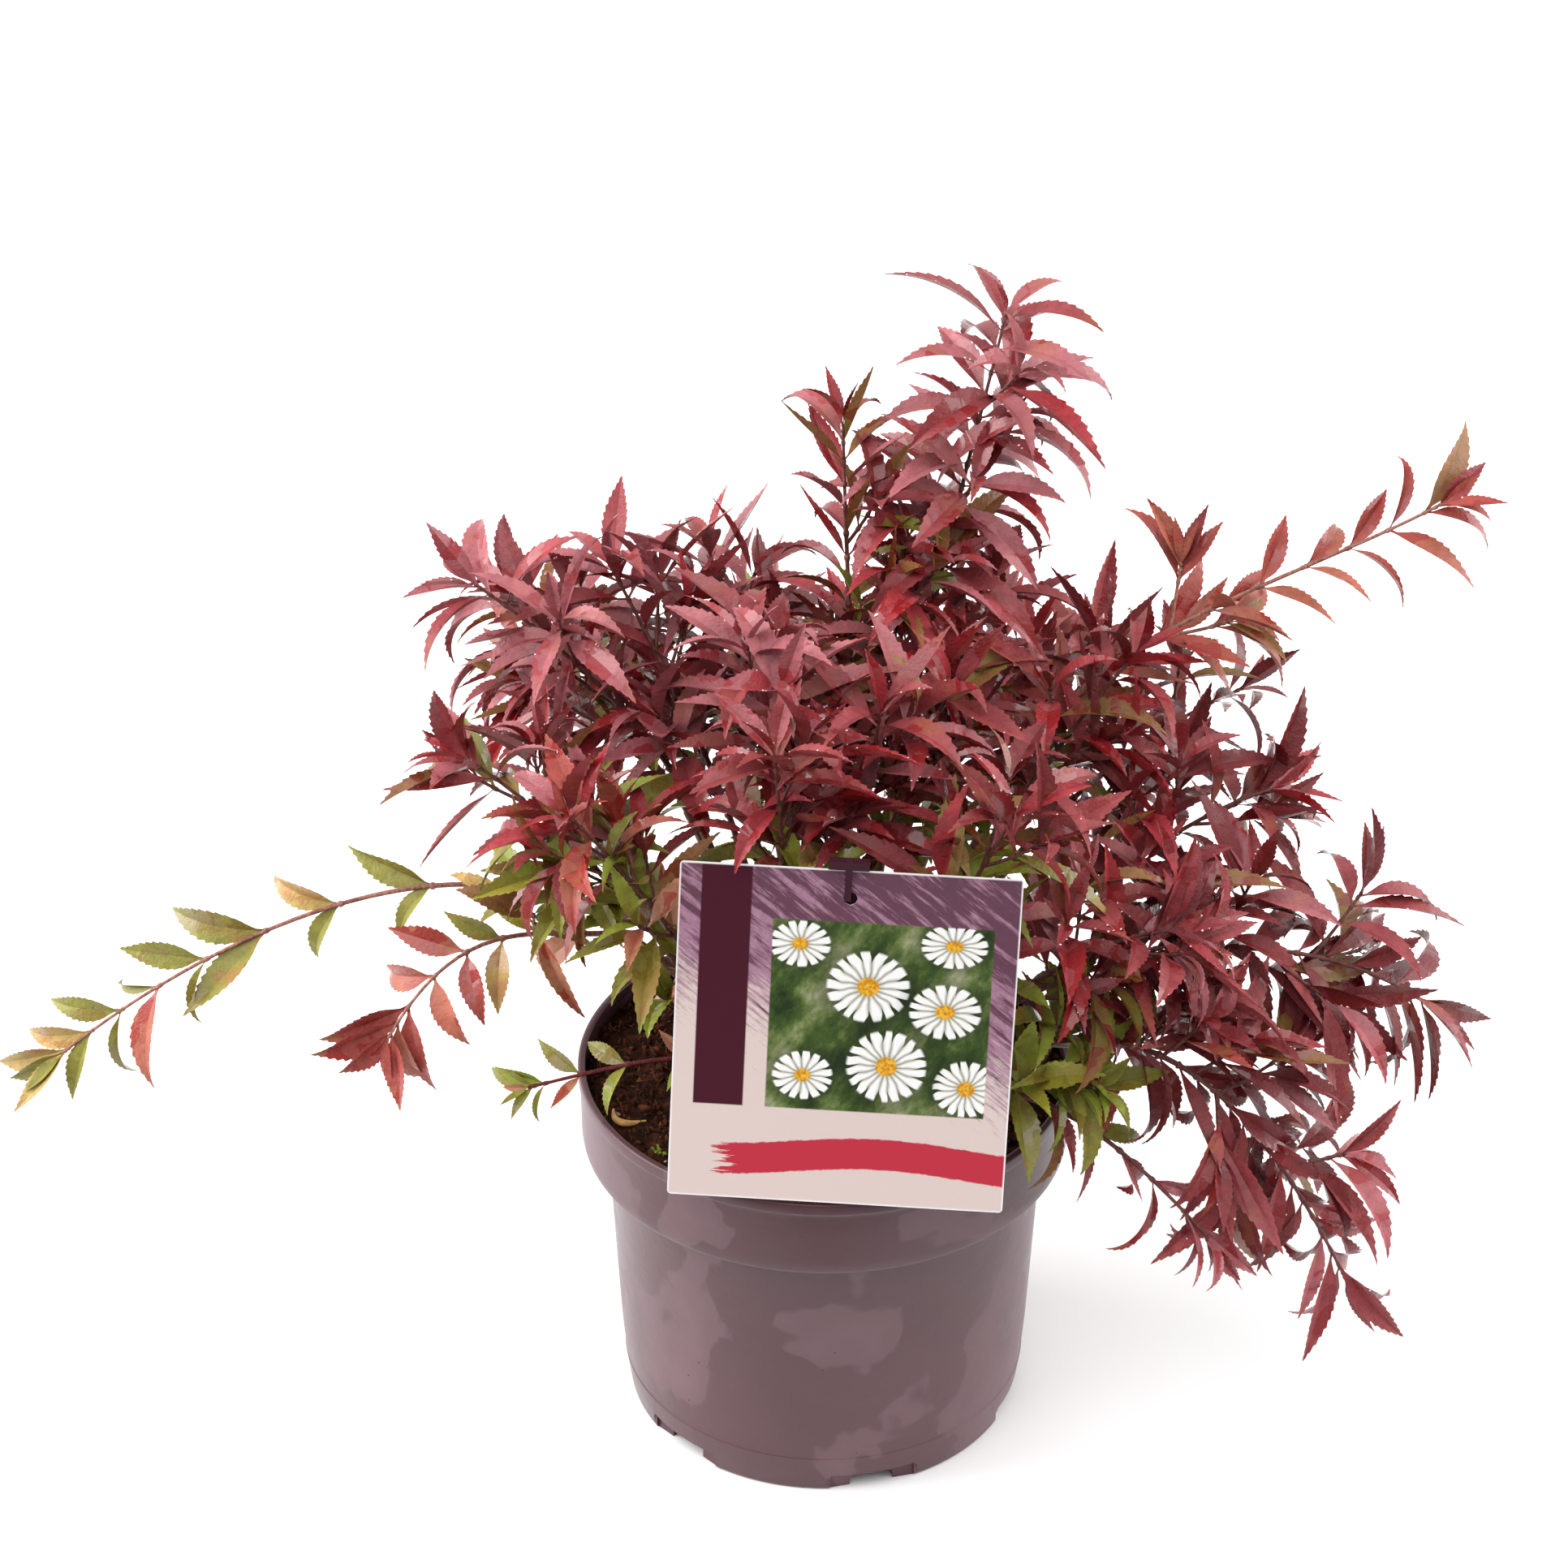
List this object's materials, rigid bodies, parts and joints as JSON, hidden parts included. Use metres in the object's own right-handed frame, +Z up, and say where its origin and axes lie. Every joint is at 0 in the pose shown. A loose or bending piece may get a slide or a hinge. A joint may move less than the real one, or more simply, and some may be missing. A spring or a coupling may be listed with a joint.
{
  "type": "potted slender deutzia shrub",
  "caption": "Dwarf shrub with many thin arching canes and slender red autumn leaves, in a round plastic nursery pot with a picture card on a stake.",
  "frame": {"origin": "middle of the pot's underside, on the ground it stands on", "axes": "+Z up the pot's axis, -Y towards the picture card at the front, +X towards the low sprays on the right as seen from the front"},
  "size_m": [0.5677, 0.3172, 0.4522],
  "materials": {
    "pot": "satin moulded plastic",
    "compost": "damp peat compost",
    "card": "glossy printed card",
    "stake": "moulded plastic",
    "bark": "thin brown bark",
    "red_leaf": "smooth leaf",
    "green_leaf": "smooth leaf"
  },
  "bodies": {
    "root": {"cane_back_left": "bark", "cane_back_mid": "bark", "cane_back_right": "bark", "cane_centre": "bark", "cane_centre_star": "bark", "cane_droop": "bark", "cane_front_right": "bark", "cane_front_star": "bark", "cane_inner_right": "bark", "cane_left": "bark", "cane_left_front": "bark", "cane_left_mid": "bark", "cane_left_top": "bark", "cane_right_back": "bark", "cane_right_front": "bark", "cane_right_long": "bark", "cane_right_low": "bark", "cane_right_mid": "bark", "cane_right_upper": "bark", "cane_skirt_right": "bark", "cane_tall": "bark", "cane_top": "bark", "cane_top_right": "bark", "cane_upper_left": "bark", "cane_upper_mid": "bark", "card_stake": "stake", "compost": "compost", "foliage_back_left": "red_leaf", "foliage_back_mid": "red_leaf", "foliage_back_right": "red_leaf", "foliage_centre": "red_leaf", "foliage_centre_star": "red_leaf", "foliage_droop": "red_leaf", "foliage_front_right": "red_leaf", "foliage_front_star": "red_leaf", "foliage_inner_right": "red_leaf", "foliage_left_front": "red_leaf", "foliage_left_long": "green_leaf", "foliage_left_low": "red_leaf", "foliage_left_mid": "red_leaf", "foliage_left_rim": "green_leaf", "foliage_left_top": "red_leaf", "foliage_right_back": "red_leaf", "foliage_right_front": "red_leaf", "foliage_right_long": "red_leaf", "foliage_right_low": "red_leaf", "foliage_right_mid": "red_leaf", "foliage_right_rim": "red_leaf", "foliage_right_upper": "red_leaf", "foliage_skirt_left": "green_leaf", "foliage_skirt_right": "green_leaf", "foliage_tall": "red_leaf", "foliage_top_mid": "red_leaf", "foliage_top_right": "red_leaf", "foliage_top_small": "red_leaf", "foliage_upper_left": "red_leaf", "foliage_upper_mid": "red_leaf", "picture_card": "card", "pot": "pot"}
  },
  "joints": []
}
